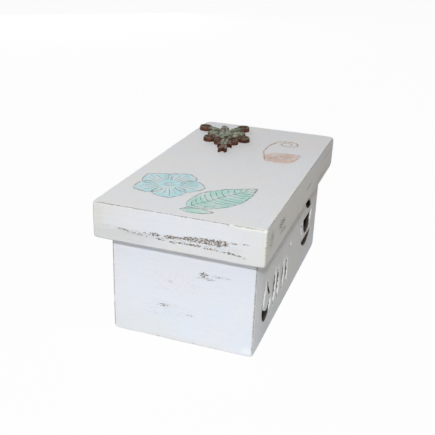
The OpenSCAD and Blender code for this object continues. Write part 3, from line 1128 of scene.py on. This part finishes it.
# Layout in mm: across the stem, and along it from its rear end
ORNAMENT_FROM_LEFT = 18
ORNAMENT_FROM_REAR = 12
ORNAMENT_TURN = 18
STEM_L = 72
STEM_BOW = 3.5
EDGE_H = 2.5
CREST_H = 1.9
HOLLOW_H = 1.4
SCROLL_H = 3.9
# Half width of the stem and its height over EDGE_H, and the shares of STEM_L where it shows
STEM_R = 1.5
STEM_FROM = 0.1
STEM_TO = 0.95
# Width of the broadest leaf. It swells the most
BROADEST = 13
# A leaf's lobes, the depth of its scallops, and its veins and midrib, which are grooves
LOBE_L = 6
SCALLOP = 0.2
VEIN_SLANT = 0.35
VEIN_D = 0.75
VEIN_W = 0.4
MIDRIB_D = 1.4
MIDRIB_W = 0.7
# A scroll's rim and eye: place, width and height as shares
SCROLL_RIM = 0.78
SCROLL_RIM_W = 0.2
SCROLL_EYE_H = 0.7
SCROLL_EYE_W = 0.26
# The cast is carved on a grid of cells with a margin all round, and then softened
HALF_GRID = 26
MARGIN = 3
CELL = 0.35
VOXEL = 0.3

# Each leaf: foot across and along, tip across and along (shares of the stem), width
STEM_LEAVES = [
    ((0, 0.22), (0, 0.70), 13),
    ((0, 0.53), (0, 0.92), 7),
    ((0, 0.33), (0, 0.07), 7),
]
SIDE_LEAVES = [
    ((1.3, 0.38), (15.2, 0.14), 9),
    ((1.7, 0.55), (14.5, 0.33), 12),
    ((1.5, 0.49), (13.5, 0.56), 9),
    ((1.0, 0.69), (5.5, 0.83), 3.6),
    ((0.6, 0.82), (2.7, 1.0), 3.6),
]
# Each pair of scrolls: across, along (share of the stem) and radius
SCROLLS = [(15.2, 0.14, 5.6), (13.5, 0.56, 5.0), (6.0, 0.68, 3.6)]


def stem_bow(along):
    return STEM_BOW*np.sin(np.pi*along/STEM_L)


def leaf_relief(x, y, foot, tip, width):
    """Height of one leaf: scalloped, domed, with a midrib groove and slanting veins."""
    start = np.array([foot[0] + stem_bow(foot[1]), foot[1]])
    end = np.array([tip[0] + stem_bow(tip[1]), tip[1]])
    long = np.linalg.norm(end - start)
    ahead = (end - start)/long
    along = (x - start[0])*ahead[0] + (y - start[1])*ahead[1]
    across = -(x - start[0])*ahead[1] + (y - start[1])*ahead[0]
    share = np.clip(along/long, 0, 1)
    round_r = (long*long/4 + width*width/4)/width
    half = np.sqrt(np.maximum(round_r**2 - (along - long/2)**2, 0)) - (round_r - width/2)
    lobes = max(2, round(long/LOBE_L))
    phase = share*lobes - VEIN_SLANT*np.abs(across)/(width/2)
    half = half*(1 - SCALLOP + SCALLOP*np.abs(np.sin(np.pi*share*lobes))**0.6)
    inside = (along > 0) & (along < long) & (half > 0.15) & (np.abs(across) < half)
    beside = np.abs(across)/np.maximum(half, 0.2)
    dome = np.clip(1 - beside**2.5, 0, 1)**0.7*np.sin(np.pi*np.clip(share, 0.02, 0.98))**0.4
    height = EDGE_H + CREST_H*dome*(0.6 + 0.4*width/BROADEST)
    height -= MIDRIB_D*np.exp(-(across/MIDRIB_W)**2)*(1 - share)**0.4
    veins = VEIN_D*np.exp(-(np.sin(np.pi*phase)/VEIN_W)**2)
    height -= veins*np.clip(beside*1.6, 0, 1)*dome
    return inside, height


def scroll_relief(x, y, centre, radius, side):
    """Height of one scroll: a raised rim that opens to one side, a deep hollow and an eye."""
    across, along = x - centre[0], y - centre[1]
    out = np.hypot(across, along)/radius
    around = np.arctan2(along, across*side)
    rim = np.exp(-((out - SCROLL_RIM)/SCROLL_RIM_W)**2)*(0.85 + 0.15*np.cos(around))
    eye = SCROLL_EYE_H*np.exp(-(out/SCROLL_EYE_W)**2)
    height = HOLLOW_H + (SCROLL_H - HOLLOW_H)*np.maximum(rim, eye)
    return out < 1, height


def ornament_relief(x, y):
    """The whole relief: leaves and scrolls lie one over another, and each keeps its edge."""
    off = np.abs(x - stem_bow(y))
    on_stem = (off < STEM_R) & (y > STEM_FROM*STEM_L) & (y < STEM_TO*STEM_L)
    stem = EDGE_H + STEM_R*np.sqrt(np.clip(1 - (off/STEM_R)**2, 0, 1))
    height = np.where(on_stem, stem, 0)
    for foot, tip, width in SIDE_LEAVES + STEM_LEAVES:
        for side in ((1,) if foot[0] == 0 else (-1, 1)):
            start = (side*foot[0], foot[1]*STEM_L)
            end = (side*tip[0], tip[1]*STEM_L)
            inside, leaf = leaf_relief(x, y, start, end, width)
            height = np.where(inside, leaf, height)
    for across, share, radius in SCROLLS:
        for side in (-1, 1):
            centre = (side*across + stem_bow(share*STEM_L), share*STEM_L)
            inside, scroll = scroll_relief(x, y, centre, radius, side)
            height = np.where(inside, scroll, height)
    return height


def make_ornament():
    """The cast ornament, carved as a relief on a fine grid and then softened."""
    xs = np.arange(-HALF_GRID, HALF_GRID, CELL)
    ys = np.arange(-MARGIN, STEM_L + MARGIN, CELL)
    x, y = np.meshgrid(xs, ys, indexing="ij")
    height = ornament_relief(x, y)
    solid = height > 0
    form = bmesh.new()
    top, foot = {}, {}
    for i, j in np.argwhere(solid):
        key = (int(i), int(j))
        top[key] = form.verts.new((xs[i], ys[j], float(height[i, j])))
        foot[key] = form.verts.new((xs[i], ys[j], 0.0))

    def cell(i, j):
        corners = ((i, j), (i + 1, j), (i + 1, j + 1), (i, j + 1))
        return corners if all(corner in top for corner in corners) else None

    cells = {key: cell(*key) for key in top if cell(*key)}
    sides = {}
    for corners in cells.values():
        form.faces.new([top[c] for c in corners])
        form.faces.new([foot[c] for c in reversed(corners)])
        for a, b in zip(corners, corners[1:] + corners[:1]):
            edge = frozenset((a, b))
            sides[edge] = None if edge in sides else (a, b)
    for pair in filter(None, sides.values()):
        a, b = pair
        form.faces.new((foot[a], foot[b], top[b], top[a]))
    loose = [vertex for vertex in form.verts if not vertex.link_faces]
    bmesh.ops.delete(form, geom=loose, context="VERTS")
    place = (
        Matrix.Translation((ORNAMENT_FROM_LEFT - LID_HALF_W, LID_HALF_L - ORNAMENT_FROM_REAR,
                            LID_TOP))
        @ Matrix.Rotation(math.radians(ORNAMENT_TURN), 4, "Z")
        @ Matrix.Diagonal((1, -1, 1, 1))
    )
    form.transform(place)
    rough = bpy.data.objects.new("rough_cast", mesh_from(form, "rough_cast"))
    bpy.context.scene.collection.objects.link(rough)
    remesh = rough.modifiers.new("cast", "REMESH")
    remesh.mode = "VOXEL"
    remesh.voxel_size = VOXEL*MM
    softened = rough.modifiers.new("softened", "SMOOTH")
    softened.factor = 0.5
    softened.iterations = 2
    graph = bpy.context.evaluated_depsgraph_get()
    mesh = bpy.data.meshes.new_from_object(rough.evaluated_get(graph))
    bpy.data.objects.remove(rough)
    for face in mesh.polygons:
        face.use_smooth = True
    piece = new_piece("lid_ornament_cast", mesh, ornament_finish(), "lid")
    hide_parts("lid_ornament")


# ------------------------------ floor and sky

def make_floor():
    """A floor that shows white to the camera and keeps the shadow."""
    bpy.ops.mesh.primitive_plane_add(size=FLOOR_SIDE)
    floor = bpy.context.object
    floor.name = "floor"
    graph = material_graph("floor_white")
    paper = graph.node("ShaderNodeBsdfDiffuse", {"Color": FLOOR_COLOUR})
    glow = graph.node("ShaderNodeEmission", {"Color": WHITE, "Strength": 1.0})
    share = graph.math("MULTIPLY", graph.seen_directly(), FLOOR_GLOW)
    both = graph.node("ShaderNodeMixShader", {0: share, 1: paper.outputs[0], 2: glow.outputs[0]})
    graph.node("ShaderNodeOutputMaterial", {"Surface": both.outputs[0]})
    floor.data.materials.append(graph.owner)


def make_sky():
    """A dim sky that lights the box from all round, and shows white to the camera."""
    world = bpy.data.worlds.new("studio")
    bpy.context.scene.world = world
    graph = Graph(world)
    sky = graph.node("ShaderNodeBackground", {"Color": SKY_COLOUR, "Strength": SKY_STRENGTH})
    white = graph.node("ShaderNodeBackground", {"Color": WHITE, "Strength": 1.0})
    share = graph.seen_directly()
    both = graph.node("ShaderNodeMixShader", {0: share, 1: sky.outputs[0], 2: white.outputs[0]})
    graph.node("ShaderNodeOutputWorld", {"Surface": both.outputs[0]})


def make_lights():
    middle = (cad_lowest + cad_highest)/2
    for name, way, away, size, power, colour in LIGHTS:
        make_softbox(name, middle + way*away, middle, size, power, colour)


make_camera()
make_floor()
make_sky()
make_lights()
lid_material = lid_paint()
box_material = box_paint()
make_boards(lid_material, box_material)
make_drawing("blossom", blossom, BLUE, BROWN_INK)
make_drawing("tea_leaf", tea_leaf, GREEN, GREEN_INK)
make_drawing("rosebud", rosebud, PINK, PINK_INK)
make_ornament()

bpy.context.scene.view_settings.view_transform = "Standard"
